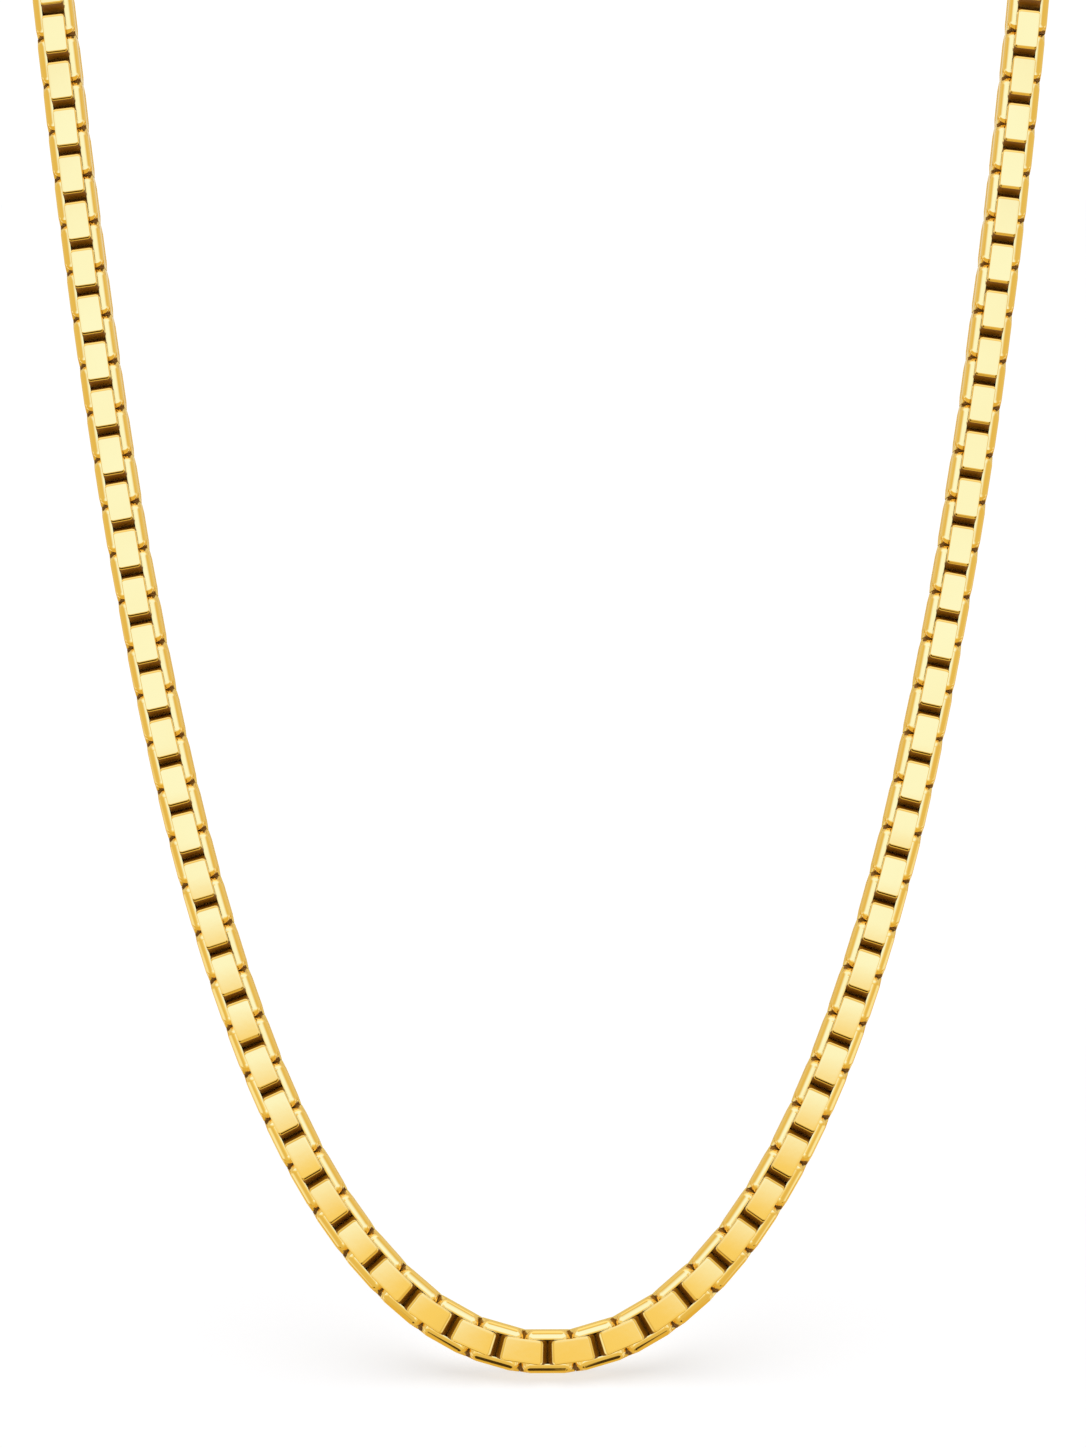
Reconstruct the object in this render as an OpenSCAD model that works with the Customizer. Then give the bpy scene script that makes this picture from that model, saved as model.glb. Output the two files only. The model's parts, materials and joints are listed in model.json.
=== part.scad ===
// Mirror chain: a necklace of flat polished box links, in the form that it takes when worn.
// Every second link lies flat and shows a mirror face. The links between stand on edge.
// The origin is on the nape, where the neck carries the chain. +Z is up and the wearer faces -Y.

/* [Links] */
// Length of a link along the chain
link_length = 5.42; // [5.37:0.01:5.45]
// Width of a link across the chain
link_width = 5; // [5:0.01:5.05]
// Width of the strip that a link is bent from
strip_width = 2.68; // [2.5:0.01:2.68]
// Thickness of the strip
strip_thick = 0.9; // [0.8:0.01:0.9]
// Outer radius of a link's four bends
bend_r = 0.9; // [0.7:0.05:1]
// Inner radius of a link's four bends
inner_r = 0.15; // [0.1:0.05:0.3]
// Distance from one link to the next along the chain
pitch = 3; // [3:0.01:3.05]
// Number of links on each side of the lowest link
side_links = 97; // [91:2:103]

/* [Worn form] */
// Radius of the hanging curve at its lowest point
low_r = 21.5; // [21:0.1:25]
// Lean of the chest at the lowest link, back from upright, in degrees
lean_low = 21.9; // [12:0.1:26]
// Lean of the chest under the shoulder, in degrees
lean_high = 14.6; // [5:0.1:18]
// Length up the chest from the lowest link to the shoulder
chest_rise = 164; // [150:1:170]
// Radius of the shoulder that the chain turns back over
shoulder_r = 46; // [42:1:60]
// Lean at the nape, in degrees, where 90 is level
lean_nape = 78; // [60:1:85]

/* [Fastening] */
// Distance along the chain from the middle of the clasp to the last link
end_reach = 12.1; // [12.05:0.05:12.15]
// Distance along the chain from the middle of the clasp to the middle of a jump ring
ring_reach = 8.48; // [8.46:0.01:8.5]
// Radius of a jump ring to the middle of its wire
ring_r = 3; // [2.98:0.01:3.02]
// Diameter of a jump ring's wire
ring_wire = 1; // [0.8:0.05:1]
// Thickness of the clasp
clasp_thick = 2; // [1.6:0.1:2]
// Width of metal round the clasp's two holes
clasp_rim = 1.2; // [1:0.05:1.3]
// Radius of the hole at the clasp's eye
eye_r = 0.8; // [0.78:0.01:0.85]
// Radius of the hole inside the clasp's hook
hook_r = 2; // [1.6:0.1:2.2]
// Clearance between a jump ring and the hole that it bears on
clearance = 0.11; // [0.1:0.01:0.12]

/* [Hidden] */
$fn = 48;
// from the middle of the clasp to the end of each hole, where a jump ring bears on the rim
bearing = ring_reach - sqrt(pow(ring_r - ring_wire / 2 - clearance, 2) - pow(clasp_thick / 2, 2));
// the clasp narrows between its ends to this share of their radii
waist = 0.85;
// the lever's thumb tab: its radius, and where it sits round the hook's rim
tab_r = 0.9;
tab_angle = 140;
// half of the loop's length, from the lowest link to the middle of the clasp
half_loop = side_links * pitch + end_reach;
// the hanging curve takes at least this share of it
least_share = 1 / 3;
halvings = 30;
gold = [0.93, 0.74, 0.34];
clasp_gold = [0.88, 0.69, 0.31];

// The chain is laid out flat first: a hanging curve, an arch round the neck, and straight to the clasp.
function hang_x(s) = low_r * ln(s / low_r + sqrt(1 + pow(s / low_r, 2)));
function hang_up(s) = sqrt(low_r * low_r + s * s) - low_r;
function neck_r(s) = (hang_x(s) - end_reach) / sin(atan(s / low_r));
function half_length(s) = s + neck_r(s) * (180 - atan(s / low_r)) * PI / 180 + end_reach;
// the length of hanging curve that makes half of the loop come out right, found by halving steps
function hang_length(low, high, steps) =
    let (mid = (low + high) / 2)
    steps == 0 ? mid :
    half_length(mid) > half_loop ? hang_length(low, mid, steps - 1) : hang_length(mid, high, steps - 1);

hang_s = hang_length(half_loop * least_share, half_loop, halvings);
arch_r = neck_r(hang_s);
arch_up = hang_up(hang_s) + arch_r * cos(atan(hang_s / low_r));

// [across, up the sheet, heading in degrees] at the length s from the lowest link
function on_hang(s) = [hang_x(s), hang_up(s), atan(s / low_r)];
function on_arch(s) =
    let (turn = atan(hang_s / low_r) + (s - hang_s) / arch_r * 180 / PI)
    [end_reach + arch_r * sin(turn), arch_up - arch_r * cos(turn), turn];
function on_nape(s) = [half_loop - s, arch_up + arch_r, 180];
function right_half(s) = s <= hang_s ? on_hang(s) : s < half_loop - end_reach ? on_arch(s) : on_nape(s);
function flat_at(s) = let (p = right_half(abs(s))) s < 0 ? [-p[0], p[1], -p[2]] : p;

// That flat sheet is bent over the wearer: up the chest, back over the shoulder, level on the nape.
// [back, up, lean in degrees] after the length u on an arc that starts at the lean lean_from
function arc_at(u, lean_from, curl) =
    let (lean = lean_from + u * curl * 180 / PI)
    [(cos(lean_from) - cos(lean)) / curl, (sin(lean) - sin(lean_from)) / curl, lean];
chest_curl = (lean_high - lean_low) * PI / 180 / chest_rise;
shoulder_rise = (lean_nape - lean_high) * PI / 180 * shoulder_r;
function sheet_at(v) =
    let (chest = arc_at(min(v, chest_rise), lean_low, chest_curl),
         turn = max(0, min(v - chest_rise, shoulder_rise)),
         shoulder = arc_at(turn, lean_high, 1 / shoulder_r),
         rest = max(0, v - chest_rise - shoulder_rise),
         lean = v < chest_rise ? chest[2] : shoulder[2])
    [chest[0] + shoulder[0] + rest * sin(lean), chest[1] + shoulder[1] + rest * cos(lean), lean];

// The neck bears on the chain's inner side in the middle of the nape.
nape = sheet_at(arch_up + arch_r);
seat = [0, nape[0] - link_width / 2 * sin(nape[2]), nape[1] - link_width / 2 * cos(nape[2])];

// Puts its children on the route: X along the chain, Y across it to the inside, Z off the skin
module on_route(s) {
    flat = flat_at(s);
    sheet = sheet_at(flat[1]);
    heading = flat[2];
    lean = sheet[2];
    along = [cos(heading), sin(heading) * sin(lean), sin(heading) * cos(lean)];
    inward = [-sin(heading), cos(heading) * sin(lean), cos(heading) * cos(lean)];
    outward = [0, -cos(lean), sin(lean)];
    place = [flat[0], sheet[0], sheet[1]] - seat;
    multmatrix([for (i = [0:2]) [along[i], inward[i], outward[i], place[i]]]) children();
}

// A rectangle with round corners, centred
module round_rect(length, width, r) {
    square([length - 2 * r, width], center = true);
    square([length, width - 2 * r], center = true);
    for (x = [-1, 1], y = [-1, 1]) translate([x * (length / 2 - r), y * (width / 2 - r)]) circle(r);
}

// One link on edge: a closed ring of flat strip
module link() {
    linear_extrude(strip_width, center = true) difference() {
        round_rect(link_length, link_width, bend_r);
        round_rect(link_length - 2 * strip_thick, link_width - 2 * strip_thick, inner_r);
    }
}

// Even links stand on edge, and odd links are turned to lie with a face out
module links(first, last) {
    for (i = [first:last]) on_route(i * pitch) rotate([i % 2 == 0 ? 0 : 90, 0, 0]) link();
}

module chain_left() {
    color(gold) links(-side_links, 0);
}

module chain_right() {
    color(gold) links(1, side_links);
}

// A closed jump ring through an end link and a hole of the clasp
module jump_ring(side) {
    color(gold) on_route(side * (half_loop - ring_reach))
        rotate_extrude() translate([ring_r, 0]) circle(d = ring_wire);
}

// The clasp in one plain piece, shut: an eye at one end and a closed hook at the other
module clasp() {
    eye_x = -(bearing - eye_r);
    hook_x = bearing - hook_r;
    eye_out = eye_r + clasp_rim;
    hook_out = hook_r + clasp_rim;
    color(clasp_gold) on_route(half_loop) rotate([90, 0, 0])
        linear_extrude(clasp_thick, center = true) difference() {
            union() {
                translate([eye_x, 0]) circle(eye_out);
                translate([hook_x, 0]) circle(hook_out);
                polygon([
                    [eye_x, -waist * eye_out], [hook_x, -waist * hook_out],
                    [hook_x, waist * hook_out], [eye_x, waist * eye_out]
                ]);
                translate([hook_x + hook_out * cos(tab_angle), hook_out * sin(tab_angle)]) circle(tab_r);
            }
            translate([eye_x, 0]) circle(eye_r);
            translate([hook_x, 0]) circle(hook_r);
        }
}

chain_left();
chain_right();
jump_ring(-1);  // ring_left
jump_ring(1);  // ring_right
clasp();
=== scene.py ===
import json
import math

import bmesh
import bpy
import numpy as np
from mathutils import Matrix, Vector

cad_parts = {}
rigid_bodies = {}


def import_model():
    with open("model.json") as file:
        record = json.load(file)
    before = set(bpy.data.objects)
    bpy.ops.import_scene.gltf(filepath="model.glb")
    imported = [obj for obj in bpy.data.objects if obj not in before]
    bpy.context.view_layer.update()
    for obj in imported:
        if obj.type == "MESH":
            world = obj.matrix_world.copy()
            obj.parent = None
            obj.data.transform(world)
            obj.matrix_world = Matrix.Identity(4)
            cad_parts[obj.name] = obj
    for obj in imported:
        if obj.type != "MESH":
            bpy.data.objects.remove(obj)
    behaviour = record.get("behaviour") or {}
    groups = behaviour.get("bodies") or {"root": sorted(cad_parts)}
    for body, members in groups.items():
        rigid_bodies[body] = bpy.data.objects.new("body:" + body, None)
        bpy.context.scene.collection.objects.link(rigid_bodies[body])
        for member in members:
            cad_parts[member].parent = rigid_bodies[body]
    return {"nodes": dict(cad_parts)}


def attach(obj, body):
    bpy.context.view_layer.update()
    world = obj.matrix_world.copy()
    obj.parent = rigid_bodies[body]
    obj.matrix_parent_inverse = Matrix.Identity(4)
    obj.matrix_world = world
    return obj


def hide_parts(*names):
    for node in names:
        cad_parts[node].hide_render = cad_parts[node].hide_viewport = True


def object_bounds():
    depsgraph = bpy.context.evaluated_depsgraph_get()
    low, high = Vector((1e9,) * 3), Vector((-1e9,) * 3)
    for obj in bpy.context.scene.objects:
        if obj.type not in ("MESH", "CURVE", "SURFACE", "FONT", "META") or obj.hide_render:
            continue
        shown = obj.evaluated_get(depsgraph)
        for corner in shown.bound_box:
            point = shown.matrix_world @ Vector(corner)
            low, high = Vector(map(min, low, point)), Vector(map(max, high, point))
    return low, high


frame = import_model()
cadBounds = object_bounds()
print("frame loaded")

mm = 0.001
sceneObjects = bpy.context.scene.collection.objects


def feed(tree, socket, value):  # a link where the value is another node's output, and else a fixed value
    if isinstance(value, Val):
        tree.links.new(value.socket, socket)
    elif socket.type == "RGBA" and len(value) == 3:
        socket.default_value = (*value, 1.0)
    else:
        socket.default_value = value


class Val:  # a node's output that Python's operators work on
    def __init__(self, tree, socket):
        self.tree, self.socket = tree, socket

    def mathNode(self, operation, *values, clamp=False):
        n = self.tree.nodes.new("ShaderNodeMath")
        n.operation, n.use_clamp = operation, clamp
        for socket, value in zip(n.inputs, values):
            feed(self.tree, socket, value)
        return Val(self.tree, n.outputs[0])

    def __add__(self, other):
        return self.mathNode("ADD", self, other)

    def __radd__(self, other):
        return self.mathNode("ADD", other, self)

    def __sub__(self, other):
        return self.mathNode("SUBTRACT", self, other)

    def __rsub__(self, other):
        return self.mathNode("SUBTRACT", other, self)

    def __mul__(self, other):
        return self.mathNode("MULTIPLY", self, other)

    def __rmul__(self, other):
        return self.mathNode("MULTIPLY", other, self)

    def __truediv__(self, other):
        return self.mathNode("DIVIDE", self, other)

    def __rtruediv__(self, other):
        return self.mathNode("DIVIDE", other, self)

    def clamped(self):
        return self.mathNode("ADD", self, 0.0, clamp=True)

    def within(self, centre, half, soft):  # 1 inside centre +- half, fading to 0 over soft outside it
        gap = self.mathNode("ABSOLUTE", self - centre) - half
        return (1 - gap / soft).clamped()

    def step(self, start, end):  # rises from 0 at start to 1 at end
        return ((self - start) / (end - start)).clamped()


class Maker:  # makes the nodes of one tree
    def __init__(self, tree):
        self.tree = tree

    def node(self, kind, settings=None, **values):
        # a socket goes by its name, with _ for each space, or by its number, as i0 and i1
        n = self.tree.nodes.new(kind)
        for key, value in (settings or {}).items():
            setattr(n, key, value)
        for key, value in values.items():
            numbered = key[0] == "i" and key[1:].isdigit()
            feed(self.tree, n.inputs[int(key[1:]) if numbered else key.replace("_", " ")], value)
        return n

    def out(self, n, which=0):
        return Val(self.tree, n.outputs[which])

    def mixColour(self, factor, a, b):
        return self.out(self.node("ShaderNodeMix", {"data_type": "RGBA"}, i0=factor, i6=a, i7=b), 2)

    def vectorMath(self, operation, which=0, **values):
        return self.out(self.node("ShaderNodeVectorMath", {"operation": operation}, **values), which)


def newMaterial(name):
    m = bpy.data.materials.new(name)
    m.use_nodes = True
    m.node_tree.nodes.clear()
    return m, Maker(m.node_tree)


# polished gold for the links and the fastening
gold = {
    "deep": (0.98, 0.65, 0.19), "pale": (1.0, 0.72, 0.25),  # the plate's tone wanders between these
    "wander": (90.0, 2.0), "linkShare": 0.3,  # scale and detail of that, and a link's own share of it
    "faceRough": 0.055,
    "smudges": (1400.0, 3.0), "smudgeFrom": 0.45, "smudge": 0.05,
    "ripple": (1400.0, 1.0), "rippleHeight": 0.0012,  # the faint ripple of a polished face, its height in mm
    # painted shade between the links: brown in the gaps, a lighter brown at the deepest, and a near-black
    # painted shadow in the creases where links meet
    "gapShadeTone": (0.27, 0.095, 0.0), "deepestShadeTone": (0.40, 0.20, 0.03), "crackShadowTone": (0.03, 0.012, 0.0),
    "gapStep": (0.3, 0.42), "deepStep": (0.78, 1.0), "crackStep": (1.1, 1.5),  # depths where these set in
    "gapRough": 0.4, "gapMetal": 0.0,
}


def goldMaterial(name, forLinks):
    m, make = newMaterial(name)
    place = make.out(make.node("ShaderNodeTexCoord"), "Object")

    def noise(scale, detail):
        return make.out(make.node("ShaderNodeTexNoise", None, Vector=place, Scale=scale, Detail=detail), "Fac")

    def linkValue(attribute):
        return make.out(make.node("ShaderNodeAttribute", {"attribute_name": attribute}), "Fac")

    tone, metal = noise(*gold["wander"]), 1.0
    if forLinks:
        tone = (tone * (1 - gold["linkShare"]) + linkValue("linkTone") * gold["linkShare"]).clamped()
    colour = make.mixColour(tone, gold["deep"], gold["pale"])
    rough = (noise(*gold["smudges"]) - gold["smudgeFrom"]).clamped() * gold["smudge"] + gold["faceRough"]
    bump = make.node("ShaderNodeBump", None, Strength=1.0, Distance=gold["rippleHeight"] * mm,
                     Height=noise(*gold["ripple"]))
    if forLinks:  # painted shade: the sides in the gaps get a rough, non-metal brown that stands in for the shade between the links
        gapShade = linkValue("gapShade")
        gapShadeMask = gapShade.step(*gold["gapStep"])
        gapShadeColour = make.mixColour(gapShade.step(*gold["deepStep"]), gold["gapShadeTone"], gold["deepestShadeTone"])
        # the near-black painted shadow in the creases where the links' ends meet
        gapShadeColour = make.mixColour(gapShade.step(*gold["crackStep"]), gapShadeColour, gold["crackShadowTone"])
        colour = make.mixColour(gapShadeMask, colour, gapShadeColour)
        rough = rough + gapShadeMask * (gold["gapRough"] - gold["faceRough"])
        metal = 1 - gapShadeMask * (1 - gold["gapMetal"])
    shader = make.node("ShaderNodeBsdfPrincipled", None, Base_Color=colour, Metallic=metal, Roughness=rough,
                       Normal=make.out(bump, "Normal"))
    make.node("ShaderNodeOutputMaterial", None, Surface=make.out(shader, "BSDF"))
    return m


linkGold = goldMaterial("linkGold", True)
claspGold = goldMaterial("claspGold", False)
print("gold materials made")

# a link is a closed ring of strip: X along the chain, Y across the ring, Z across the strip, sizes in mm
# its outlines run from the strip's edge to the strip's middle: back from the end, in from the side, corner
# radius, height, and the painted gap shade of the corner at 0, 30, 60 and 90 degrees, from the end to the
# side, more where it lies deeper in a gap
# a band between two outlines leans from the strip's axis: at the sides from, to, and at the ends from, to
edgeLink = {
    "length": 6.02, "width": 5.0, "thick": 1.1,
    "outlines": [(0.62, 0.28, 0.50, 1.45, (0, 0, 0, 0)), (0.10, 0.06, 1.10, 1.30, (0, 0, 0, 0)),
                 # the ends' shade above 1.1 paints the near-black shadow of the crease where edge links meet
                 (0.06, 0.0, 1.15, 0.98, (1.3, 0.45, 0.1, 0)), (0.0, 0.09, 0.12, 0.90, (1.3, 1.05, 0.25, 0))],
    "bands": [(18, 60, 28, 50), (60, 88, 62, 85), (88, 90, 25, 30)],
    "top": (-4, 19, 4),  # how the strip's edge leans at the hole, at the sides and at the ends
    "bulge": 12,         # how much more the bands lean halfway round a corner
    "crown": 1.5,        # how far the flats' reflections swell, in degrees
    "lip": 0.1,          # over how much of the hole's wall the painted gap shade fades in
}
# a face link's corner has its own points: back from the end, in from the side, outward angle, painted gap
# shade by its depth in a gap
faceLink = {
    "length": 6.02, "width": 5.0, "thick": 0.92,
    "corner": [(0.0, 1.5, 10, 1.0), (0.54, 0.20, 40, 0.5), (0.66, 0.06, 69, 0.0), (0.80, 0.015, 75, 0.0),
               (0.91, 0.0, 89, 0.0)],
    "outlines": [(0.34, 0.10, 0, 1.39, None), (0.10, 0.0, 0, 1.30, None), (0.0, 0.0, 0, 1.05, None)],
    "bands": [(50, 88, 45, 70), (89, 90, 75, 90)],
    "top": (0, 8, 8), "bulge": 0, "crown": 1.0, "lip": 0.1,
}


def outlinePoints(size, outline):
    # the points of an outline in order, each with its outward way, painted gap shade and share of the side
    halfX, halfY = size["length"] / 2, size["width"] / 2
    back, inset, radius, _, shadeWeights = outline
    if "corner" in size:
        last = len(size["corner"]) - 1
        corner = [(b + back * (k > 0), d + inset, angle, deep, k / last)
                  for k, (b, d, angle, deep) in enumerate(size["corner"])]
    else:
        corner = [(back + radius * (1 - math.cos(math.radians(angle))),
                   inset + radius * (1 - math.sin(math.radians(angle))), angle, deep, angle / 90)
                  for angle, deep in zip((0, 30, 60, 90), shadeWeights)]
    points = []
    for sx, sy in ((1, 1), (-1, 1), (-1, -1), (1, -1)):
        for b, d, angle, deep, share in (corner if sx * sy > 0 else corner[::-1]):
            a = math.radians(min(max(angle, size["crown"]), 90 - size["crown"]))
            way = (sx * math.cos(a), sy * math.sin(a))
            points.append((sx * (halfX - b), sy * (halfY - d), way, deep, share))
    return points


def leaned(way, lean, side):
    # a direction that leans from the strip's axis towards the given way
    a = math.radians(lean)
    return (way[0] * math.sin(a), way[1] * math.sin(a), side * math.cos(a))


def linkMesh(name, size):
    verts, faces, normals, shadeWeights = [], [], [], []

    def ring(places, z, deep):
        first = len(verts)
        verts.extend([(x * mm, y * mm, z * mm) for x, y in places])
        shadeWeights.extend(deep)
        return list(range(first, first + len(places)))

    def face(corners, ways, side):
        faces.append(corners[::side])
        normals.extend(ways[::side])

    rims = {}
    for side in (1, -1):
        loops = []
        for outline in size["outlines"]:
            points = outlinePoints(size, outline)
            loops.append((points, ring([p[:2] for p in points], side * outline[3], [p[3] for p in points])))
        rims[side] = loops
        n = len(loops[0][0])
        for (sideFrom, sideTo, endFrom, endTo), (upper, lower) in zip(size["bands"], zip(loops, loops[1:])):
            for k in range(n):
                j = (k + 1) % n
                ways = []
                for (points, _), (atSide, atEnd) in ((lower, (sideTo, endTo)), (upper, (sideFrom, endFrom))):
                    for i in ((k, j) if points is lower[0] else (j, k)):
                        share = points[i][4]
                        lean = atEnd + (atSide - atEnd) * share + size["bulge"] * 4 * share * (1 - share)
                        ways.append(leaned(points[i][2], min(lean, 90), side))
                face([lower[1][k], lower[1][j], upper[1][j], upper[1][k]], ways, side)
    for k in range(n):  # the plain wall between the two halves
        j = (k + 1) % n
        low, high = rims[-1][-1], rims[1][-1]
        ways = [leaned(p[i][2], 90, 1) for p, i in ((low[0], k), (low[0], j), (high[0], j), (high[0], k))]
        face([low[1][k], low[1][j], high[1][j], high[1][k]], ways, 1)

    # the strip's two edges, and the hole
    innerX, innerY = size["length"] / 2 - size["thick"], size["width"] / 2 - size["thick"]
    signs = [(1, 1), (-1, 1), (-1, -1), (1, -1)]
    sides = [(0, 1), (-1, 0), (0, -1), (1, 0)]  # outward from corner c to the next
    atHole, atSide, atEnd = size["top"]
    per = n // 4  # points of a corner
    holes = {}
    for side in (1, -1):
        points, rim = rims[side][0]
        z = size["outlines"][0][3]
        inner = [(x * innerX, y * innerY) for x, y in signs]
        # the hole's mouth has no painted gap shade, and its walls below the lip have it in full
        mouth = ring(inner, side * z, [0.0] * 4)
        holes[side] = ring(inner, side * (z - size["lip"]), [1.0] * 4)
        rimWays = [leaned(p[2], atEnd + (atSide - atEnd) * p[4], side) for p in points]
        for c in range(4):
            d, first, last, beyond = (c + 1) % 4, per * c, per * c + per - 1, (per * c + per) % n
            here = leaned(signs[c], atHole, side)
            face([mouth[c]] + rim[first:last + 1], [here] + rimWays[first:last + 1], side)
            over = leaned(sides[c], atHole, side)
            face([mouth[c], rim[last], rim[beyond], mouth[d]],
                 [over, rimWays[last], rimWays[beyond], over], side)
            inward = (-sides[c][0], -sides[c][1], 0)
            face([mouth[c], mouth[d], holes[side][d], holes[side][c]], [inward] * 4, side)
    for c in range(4):
        d = (c + 1) % 4
        inward = (-sides[c][0], -sides[c][1], 0)
        face([holes[1][c], holes[1][d], holes[-1][d], holes[-1][c]], [inward] * 4, 1)
    mesh = bpy.data.meshes.new(name)
    mesh.from_pydata(verts, [], faces)
    for polygon in mesh.polygons:
        polygon.use_smooth = True
    # each point's painted gap shade, which the gold material turns into darker brown
    mesh.attributes.new("gapShade", "FLOAT", "POINT").data.foreach_set("value", shadeWeights)
    mesh.normals_split_custom_set(normals)
    mesh.update()
    obj = bpy.data.objects.new(name, mesh)
    sceneObjects.link(obj)
    return obj


faceLinkShape = linkMesh("faceLinkShape", faceLink)
edgeLinkShape = linkMesh("edgeLinkShape", edgeLink)
print("link shapes:", len(faceLinkShape.data.polygons), "and", len(edgeLinkShape.data.polygons), "faces")

# how the links' places are read from the frame's solids
reading = {
    "merge": 1e-6,        # corners this close, in metres, are one
    "likeStrip": 0.985,   # cosine between a face's direction and a guess at the strip's axis, at least
    "likeAlong": 0.97,    # and at the chain's direction
}


def islands(obj):
    # the points, face directions and face areas of each solid in a node
    b = bmesh.new()
    b.from_mesh(obj.data)
    bmesh.ops.remove_doubles(b, verts=b.verts, dist=reading["merge"])
    b.faces.ensure_lookup_table()
    seen, found = set(), []
    for start in b.faces:
        if start.index in seen:
            continue
        stack, island = [start], []
        seen.add(start.index)
        while stack:
            f = stack.pop()
            island.append(f)
            for e in f.edges:
                for g in e.link_faces:
                    if g.index not in seen:
                        seen.add(g.index)
                        stack.append(g)
        points = np.array([v.co for f in island for v in f.verts])
        areas = np.array([f.calc_area() for f in island])
        ways = np.array([f.normal for f in island])
        found.append((points, ways, areas))
    b.free()
    return found


def meanWay(ways, areas, guess, like):
    # the mean direction of the flat faces that look along the guess or against it
    dots = ways @ guess
    near = np.abs(dots) > like
    total = (ways[near] * (areas[near] * np.sign(dots[near]))[:, None]).sum(axis=0)
    return total / np.linalg.norm(total)


def linkPlaces(node):
    found = islands(frame["nodes"][node])
    centres = np.array([(p.min(axis=0) + p.max(axis=0)) / 2 for p, _, _ in found])
    low, high = (np.array(c) for c in cadBounds)
    middle = (low[2] + high[2]) / 2
    order = np.argsort(np.arctan2(centres[:, 0], middle - centres[:, 2]))
    places = []
    for k, index in enumerate(order):
        points, ways, areas = found[index]
        before, after = order[max(k - 1, 0)], order[min(k + 1, len(order) - 1)]
        along = centres[after] - centres[before]
        along /= np.linalg.norm(along)
        along = meanWay(ways, areas, along, reading["likeAlong"])
        # a link is thinnest across the strip
        spread = points - points.mean(axis=0)
        strip = np.linalg.eigh(spread.T @ spread)[1][:, 0]
        strip = meanWay(ways, areas, strip, reading["likeStrip"])
        along -= strip * (along @ strip)
        along /= np.linalg.norm(along)
        third = np.cross(strip, along)
        axes = np.stack([along, third, strip])
        local = points @ axes.T
        centre = (local.min(axis=0) + local.max(axis=0)) / 2 @ axes
        outward = np.array([0.0, -1.0, 1.0])  # the chain's outer side looks forward below and up on top
        onEdge = bool(abs(strip @ outward) > abs(third @ outward))
        if (strip if onEdge else third) @ outward < 0:
            strip, third = -strip, -third
        places.append({"centre": centre, "along": along, "strip": strip, "onEdge": onEdge,
                       "inward": third if onEdge else strip})
    for k, place in enumerate(places):  # how tightly the chain curves here, towards the place's inward side
        k = min(max(k, 1), len(places) - 2)
        before, here, after = (places[k + j]["centre"] for j in (-1, 0, 1))
        turn = before - 2 * here + after
        if place["inward"] @ turn < 0:
            place["inward"] = -place["inward"]
        place["curve"] = place["inward"] @ turn / (np.linalg.norm(after - before) / 2) ** 2
    return places


def pointsObject(name, places):
    mesh = bpy.data.meshes.new(name)
    mesh.from_pydata([tuple(p["centre"]) for p in places], [], [])
    for key in ("centre", "along", "strip", "inward"):
        data = mesh.attributes.new(key, "FLOAT_VECTOR", "POINT").data
        data.foreach_set("vector", np.array([p[key] for p in places]).ravel())
    for key, kind in (("onEdge", "BOOLEAN"), ("curve", "FLOAT")):
        mesh.attributes.new(key, kind, "POINT").data.foreach_set("value", [p[key] for p in places])
    obj = bpy.data.objects.new(name, mesh)
    sceneObjects.link(obj)
    return obj


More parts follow.
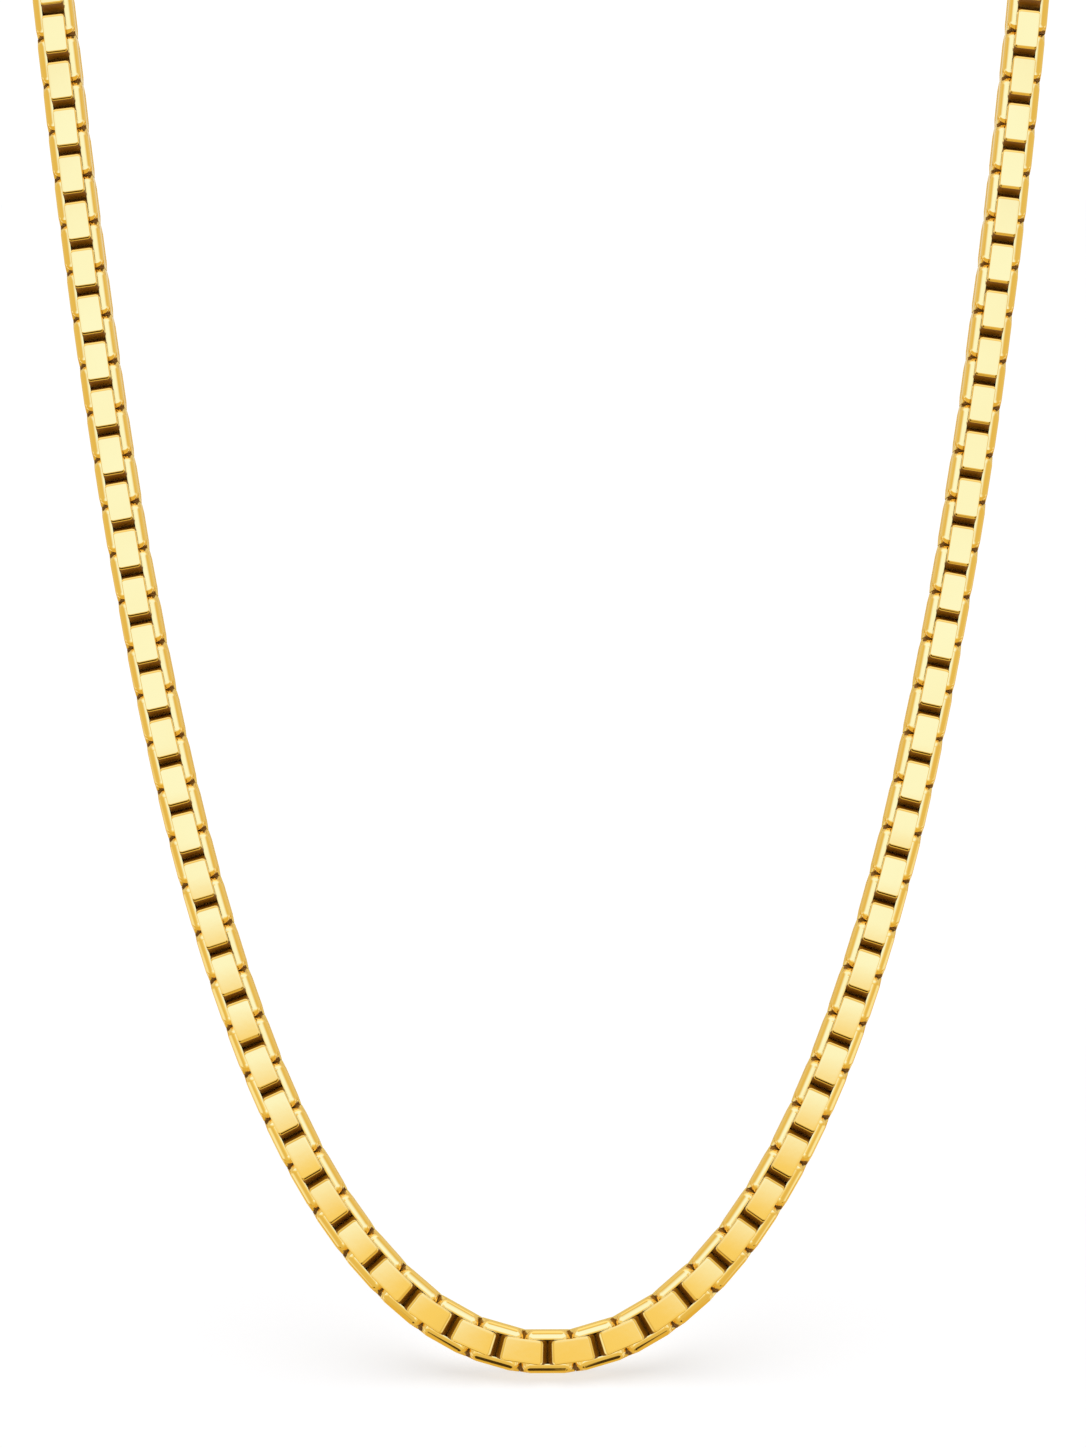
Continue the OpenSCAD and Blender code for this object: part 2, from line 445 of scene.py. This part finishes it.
def linkTree():
    # sets a link on every point, bends it along the chain and gives it its material
    tree = bpy.data.node_groups.new("mirrorLinks", "GeometryNodeTree")
    addSocket = tree.interface.new_socket
    addSocket("Geometry", in_out="INPUT", socket_type="NodeSocketGeometry")
    for name, kind in (("Face Link", "Object"), ("Edge Link", "Object"), ("Play Turn", "Float"),
                       ("Play Slide", "Float"), ("Seed", "Int"), ("Material", "Material")):
        addSocket(name, in_out="INPUT", socket_type="NodeSocket" + kind)
    addSocket("Geometry", in_out="OUTPUT", socket_type="NodeSocketGeometry")
    make = Maker(tree)
    group = make.node("NodeGroupInput")

    def get(kind, settings=None, which=0, **values):
        return make.out(make.node(kind, settings, **values), which)

    def attribute(name, kind="FLOAT_VECTOR"):
        return get("GeometryNodeInputNamedAttribute", {"data_type": kind}, Name=name)

    def randomVector(limit, offset):
        return get("FunctionNodeRandomValue", {"data_type": "FLOAT_VECTOR"}, i0=limit * -1.0, i1=limit,
                   Seed=make.out(group, "Seed") + offset)

    # X along the chain, Z across the strip, and then a little play
    along, strip, onEdge = attribute("along"), attribute("strip"), attribute("onEdge", "BOOLEAN")
    axes = get("FunctionNodeAxesToRotation", {"primary_axis": "X", "secondary_axis": "Z"},
               Primary_Axis=along, Secondary_Axis=strip)
    turn = get("FunctionNodeEulerToRotation", None, i0=randomVector(make.out(group, "Play Turn"), 1.0))
    rotation = get("FunctionNodeRotateRotation", {"rotation_space": "LOCAL"}, i0=axes, i1=turn)
    shifted = get("GeometryNodeSetPosition", None, Geometry=make.out(group, "Geometry"),
                  Offset=randomVector(make.out(group, "Play Slide"), 2.0))
    onFace = get("FunctionNodeBooleanMath", {"operation": "NOT"}, i0=onEdge)
    join = make.node("GeometryNodeJoinGeometry")
    for which, selection in (("Face Link", onFace), ("Edge Link", onEdge)):
        shape = get("GeometryNodeObjectInfo", {"transform_space": "ORIGINAL"}, "Geometry",
                    Object=make.out(group, which))
        placed = get("GeometryNodeInstanceOnPoints", None, Points=shifted, Selection=selection, Instance=shape,
                     Rotation=rotation)
        feed(tree, join.inputs[0], placed)
    tone = get("FunctionNodeRandomValue", {"data_type": "FLOAT"}, 1, Seed=make.out(group, "Seed"))
    toned = get("GeometryNodeStoreNamedAttribute", {"data_type": "FLOAT", "domain": "INSTANCE"},
                Geometry=make.out(join), Name="linkTone", Value=tone)
    real = get("GeometryNodeRealizeInstances", None, Geometry=toned)

    # each link follows the curve of the chain: shorter on the inside, longer outside, and bowed with it
    inward, curve = attribute("inward"), attribute("curve", "FLOAT")
    reach = make.vectorMath("SUBTRACT", i0=get("GeometryNodeInputPosition"), i1=attribute("centre"))
    far = make.vectorMath("DOT_PRODUCT", 1, i0=reach, i1=along)
    inside = make.vectorMath("DOT_PRODUCT", 1, i0=reach, i1=inward)
    stretched = make.vectorMath("SCALE", i0=along, Scale=curve * far * inside * -1.0)
    bowed = make.vectorMath("SCALE", i0=inward, Scale=curve * far * far * 0.5)
    bent = get("GeometryNodeSetPosition", None, Geometry=real,
               Offset=make.vectorMath("ADD", i0=stretched, i1=bowed))
    painted = get("GeometryNodeSetMaterial", None, Geometry=bent, Material=make.out(group, "Material"))
    make.node("NodeGroupOutput", None, Geometry=painted)
    return tree


mirrorLinks = linkTree()


def solidFrom(obj, name):
    # the evaluated result as a plain mesh, at the origin
    graph = bpy.context.evaluated_depsgraph_get()
    mesh = bpy.data.meshes.new_from_object(obj.evaluated_get(graph), preserve_all_data_layers=True,
                                           depsgraph=graph)
    mesh.name = name
    solid = bpy.data.objects.new(name, mesh)
    sceneObjects.link(solid)
    return solid


chainPlay = {"turn": 0.5, "slide": 0.015, "seed": 7, "rightSeed": 47}  # how loose the links are: degrees, mm


def chainPiece(node, name, places, seed):
    print(node, len(places), "links,", sum(p["onEdge"] for p in places), "on edge")
    points = pointsObject(name + "Points", places)
    modifier = points.modifiers.new("links", "NODES")
    modifier.node_group = mirrorLinks
    inputs = {"Face Link": faceLinkShape, "Edge Link": edgeLinkShape, "Material": linkGold, "Seed": seed,
              "Play Turn": math.radians(chainPlay["turn"]), "Play Slide": chainPlay["slide"] * mm}
    for item in mirrorLinks.interface.items_tree:
        if item.in_out == "INPUT" and item.name in inputs:
            modifier[item.identifier] = inputs[item.name]
    solid = solidFrom(points, name)
    points.modifiers.remove(modifier)
    bpy.data.objects.remove(points)
    print(name, len(solid.data.polygons), "faces")
    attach(solid, "root")
    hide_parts(node)


leftPlaces = linkPlaces("chain_left")
chainPiece("chain_left", "leftChain", leftPlaces, chainPlay["seed"])
chainPiece("chain_right", "rightChain", linkPlaces("chain_right"), chainPlay["rightSeed"])
for shape in (faceLinkShape, edgeLinkShape):
    bpy.data.objects.remove(shape)
print("chain made")

claspLook = {"bevel": 0.28, "bevelSteps": 3, "bevelFrom": 50.0, "flatWithin": 1.0}  # mm, and degrees


def claspPiece():
    b = bmesh.new()
    b.from_mesh(frame["nodes"]["clasp"].data)
    bmesh.ops.remove_doubles(b, verts=b.verts, dist=reading["merge"])
    bmesh.ops.recalc_face_normals(b, faces=b.faces)
    bmesh.ops.dissolve_limit(b, angle_limit=math.radians(claspLook["flatWithin"]),
                             verts=b.verts, edges=b.edges)
    mesh = bpy.data.meshes.new("claspBody")
    b.to_mesh(mesh)
    b.free()
    rough = bpy.data.objects.new("claspRough", mesh)
    sceneObjects.link(rough)
    bevel = rough.modifiers.new("bevel", "BEVEL")
    bevel.width, bevel.segments = claspLook["bevel"] * mm, claspLook["bevelSteps"]
    bevel.limit_method, bevel.angle_limit = "ANGLE", math.radians(claspLook["bevelFrom"])
    solid = solidFrom(rough, "claspShut")
    bpy.data.objects.remove(rough)
    for polygon in solid.data.polygons:
        polygon.use_smooth = True
    solid.data.materials.append(claspGold)
    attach(solid, "root")
    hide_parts("clasp")


claspPiece()
for name in ("ring_left", "ring_right"):
    ringMesh = frame["nodes"][name].data
    ringMesh.materials.clear()
    ringMesh.materials.append(claspGold)
print("fastening made")

lowCorner, highCorner = (Vector(c) for c in cadBounds)
floorLook = {
    "gap": 0.2, "half": 12.0,  # below the lowest link in mm, and to each side in metres
    "white": 0.34, "shift": 0.01, "grain": (30.0, 4.0),  # the paper's tone, its drift, and that one's noise
    "glow": 0.72,
}
floorZ = lowCorner.z - floorLook["gap"] * mm


def floorPlane():
    half, white, shift = floorLook["half"], floorLook["white"], floorLook["shift"]
    mesh = bpy.data.meshes.new("floor")
    corners = [(x * half, y * half, floorZ) for x, y in ((-1, -1), (1, -1), (1, 1), (-1, 1))]
    mesh.from_pydata(corners, [], [(0, 1, 2, 3)])
    obj = bpy.data.objects.new("floor", mesh)
    sceneObjects.link(obj)
    m, make = newMaterial("palePaper")
    place = make.out(make.node("ShaderNodeTexCoord"), "Object")
    scale, detail = floorLook["grain"]
    grain = make.out(make.node("ShaderNodeTexNoise", None, Vector=place, Scale=scale, Detail=detail), "Fac")
    colour = make.mixColour(grain, (white - shift, white - shift, white), (white, white, white + shift))
    shader = make.node("ShaderNodeBsdfPrincipled", None, Base_Color=colour, Roughness=1.0,
                       Specular_IOR_Level=0.0, Emission_Color=(1.0, 1.0, 1.0),
                       Emission_Strength=floorLook["glow"])
    make.node("ShaderNodeOutputMaterial", None, Surface=make.out(shader, "BSDF"))
    mesh.materials.append(m)
    m.cycles.emission_sampling = "NONE"
    obj.visible_glossy = False  # the gold mirrors the room below instead


# what the polished gold mirrors, by direction from the chain: colours of the room, and windows of light in it
# a window is its middle, half-width and soft edge in degrees, sideways from the front and up from level, and
# its colour; the steps are the degrees from which and to which one colour passes into the next
room = {
    "radius": 30.0, "facets": (48, 24),
    "warm": (0.80, 0.69, 0.33), "sides": (0.82, 0.78, 0.62), "sidesStep": (30.0, 110.0),
    "ceiling": (1.15, 1.15, 1.05), "ceilingStep": (48.0, 66.0),
    "below": (0.78, 0.60, 0.18), "belowStep": (0.0, -8.0),
    "behindStep": (100.0, 125.0), "lowBehindStep": (-26.0, -32.0),
    "front": ((0.0, 12.0, 14.0), (31.0, 14.0, 3.0)),
    "frontLow": (0.96, 0.89, 0.52), "frontHigh": (1.0, 1.34, 2.35), "frontStep": (18.0, 23.0),
    "windows": [((44.0, 11.0, 8.0), (-1.0, 8.0, 4.0), (1.0, 1.15, 1.4)),
                ((85.0, 14.0, 10.0), (-12.0, 7.0, 5.0), (1.0, 1.1, 1.3)),
                ((120.0, 14.0, 12.0), (-38.0, 7.0, 7.0), (1.0, 1.1, 1.3)),
                ((180.0, 16.0, 22.0), (-54.0, 12.0, 6.0), (1.0, 1.2, 1.7))],
    "dark": [((-6.5, 8.0, 3.0), (-9.0, 7.0, 3.0)), ((11.5, 3.5, 2.0), (-9.0, 7.0, 3.0))],
    "darkTone": (0.06, 0.04, 0.015),
}


def softboxDome():
    b = bmesh.new()
    segments, rings = room["facets"]
    bmesh.ops.create_uvsphere(b, u_segments=segments, v_segments=rings, radius=room["radius"])
    middle = (lowCorner + highCorner) / 2
    bmesh.ops.translate(b, verts=b.verts, vec=middle)
    mesh = bpy.data.meshes.new("dome")
    b.to_mesh(mesh)
    b.free()
    obj = bpy.data.objects.new("dome", mesh)
    sceneObjects.link(obj)
    m, make = newMaterial("roomLight")
    place = make.out(make.node("ShaderNodeTexCoord"), "Object")
    way = make.vectorMath("NORMALIZE", i0=make.vectorMath("SUBTRACT", i0=place, i1=middle))
    split = make.node("ShaderNodeSeparateXYZ", None, i0=way)
    x, y, z = (make.out(split, axis) for axis in "XYZ")
    degrees = math.degrees(1)
    rise = z.mathNode("ARCSINE", z) * degrees
    side = x.mathNode("ARCTAN2", x, y * -1.0) * degrees  # 0 in front of the chain, positive to the right
    turned = side.mathNode("ABSOLUTE", side)
    colour = make.mixColour(turned.step(*room["sidesStep"]), room["warm"], room["sides"])
    colour = make.mixColour(rise.step(*room["ceilingStep"]), colour, room["ceiling"])
    colour = make.mixColour(rise.step(*room["belowStep"]), colour, room["below"])
    lowBehind = turned.step(*room["behindStep"]) * rise.step(*room["lowBehindStep"])
    colour = make.mixColour(lowBehind, colour, room["warm"])
    for sideways, upward, tone in room["windows"]:
        colour = make.mixColour(turned.within(*sideways) * rise.within(*upward), colour, tone)
    sideways, upward = room["front"]
    tone = make.mixColour(rise.step(*room["frontStep"]), room["frontLow"], room["frontHigh"])
    colour = make.mixColour(side.within(*sideways) * rise.within(*upward), colour, tone)
    for sideways, upward in room["dark"]:
        colour = make.mixColour(side.within(*sideways) * rise.within(*upward), colour, room["darkTone"])
    shader = make.node("ShaderNodeEmission", None, Color=colour, Strength=1.0)
    make.node("ShaderNodeOutputMaterial", None, Surface=make.out(shader, "Emission"))
    m.cycles.emission_sampling = "NONE"
    mesh.materials.append(m)
    obj.visible_camera = obj.visible_diffuse = obj.visible_shadow = False
    obj.visible_transmission = obj.visible_volume_scatter = False


studioLight = {"high": 40.0, "across": 50.0, "glow": 3.3, "skyWhite": 1.05}  # the ceiling's sizes in metres


def ceilingLight():
    light = bpy.data.lights.new("ceiling", "AREA")
    light.shape, light.size = "DISK", studioLight["across"]
    light.energy = studioLight["glow"] * math.pi * math.pi * (studioLight["across"] / 2) ** 2
    obj = bpy.data.objects.new("ceiling", light)
    middle = (lowCorner + highCorner) / 2
    obj.location = middle.x, middle.y, floorZ + studioLight["high"]
    obj.visible_camera = obj.visible_glossy = False
    sceneObjects.link(obj)


def whiteSky():
    world = bpy.data.worlds.new("studioWhite")
    bpy.context.scene.world = world
    world.use_nodes = True
    world.cycles_visibility.diffuse = False  # the ceiling alone lights the floor, for a close soft shadow
    background = world.node_tree.nodes["Background"]
    background.inputs["Color"].default_value = (1, 1, 1, 1)
    background.inputs["Strength"].default_value = studioLight["skyWhite"]


floorPlane()
ceilingLight()
softboxDome()
whiteSky()
bpy.context.scene.view_settings.view_transform = "Standard"
print("studio made")

view = {
    "pitch": 12.0, "roll": 0.27, "focalPixels": 2600.0, "imageHeight": 1448.0, "sensor": 36.0,
    "distance": 310.46, "above": 74.98, "aside": -0.187,  # from the lowest link's centre, in mm
    "clip": (0.01, 100.0),
}


def addCamera(lowestLink):
    pitch, roll = math.radians(view["pitch"]), math.radians(view["roll"])
    ahead = Vector((0, math.cos(pitch), -math.sin(pitch)))
    up = Vector((0, math.sin(pitch), math.cos(pitch)))
    right = Vector((1, 0, 0))
    eye = Vector(lowestLink) + (right * view["aside"] + up * view["above"] - ahead * view["distance"]) * mm
    turnedRight = right * math.cos(roll) - up * math.sin(roll)
    turnedUp = up * math.cos(roll) + right * math.sin(roll)
    camera = bpy.data.objects.new("camera", bpy.data.cameras.new("camera"))
    sceneObjects.link(camera)
    turned = Matrix((turnedRight, turnedUp, -ahead)).transposed().to_4x4()
    camera.matrix_world = Matrix.Translation(eye) @ turned
    camera.data.sensor_width = view["sensor"]
    camera.data.lens = view["focalPixels"] / view["imageHeight"] * view["sensor"]
    camera.data.clip_start, camera.data.clip_end = view["clip"]
    bpy.context.scene.camera = camera


addCamera(min((p["centre"] for p in leftPlaces), key=lambda centre: centre[2]))
print("camera set")
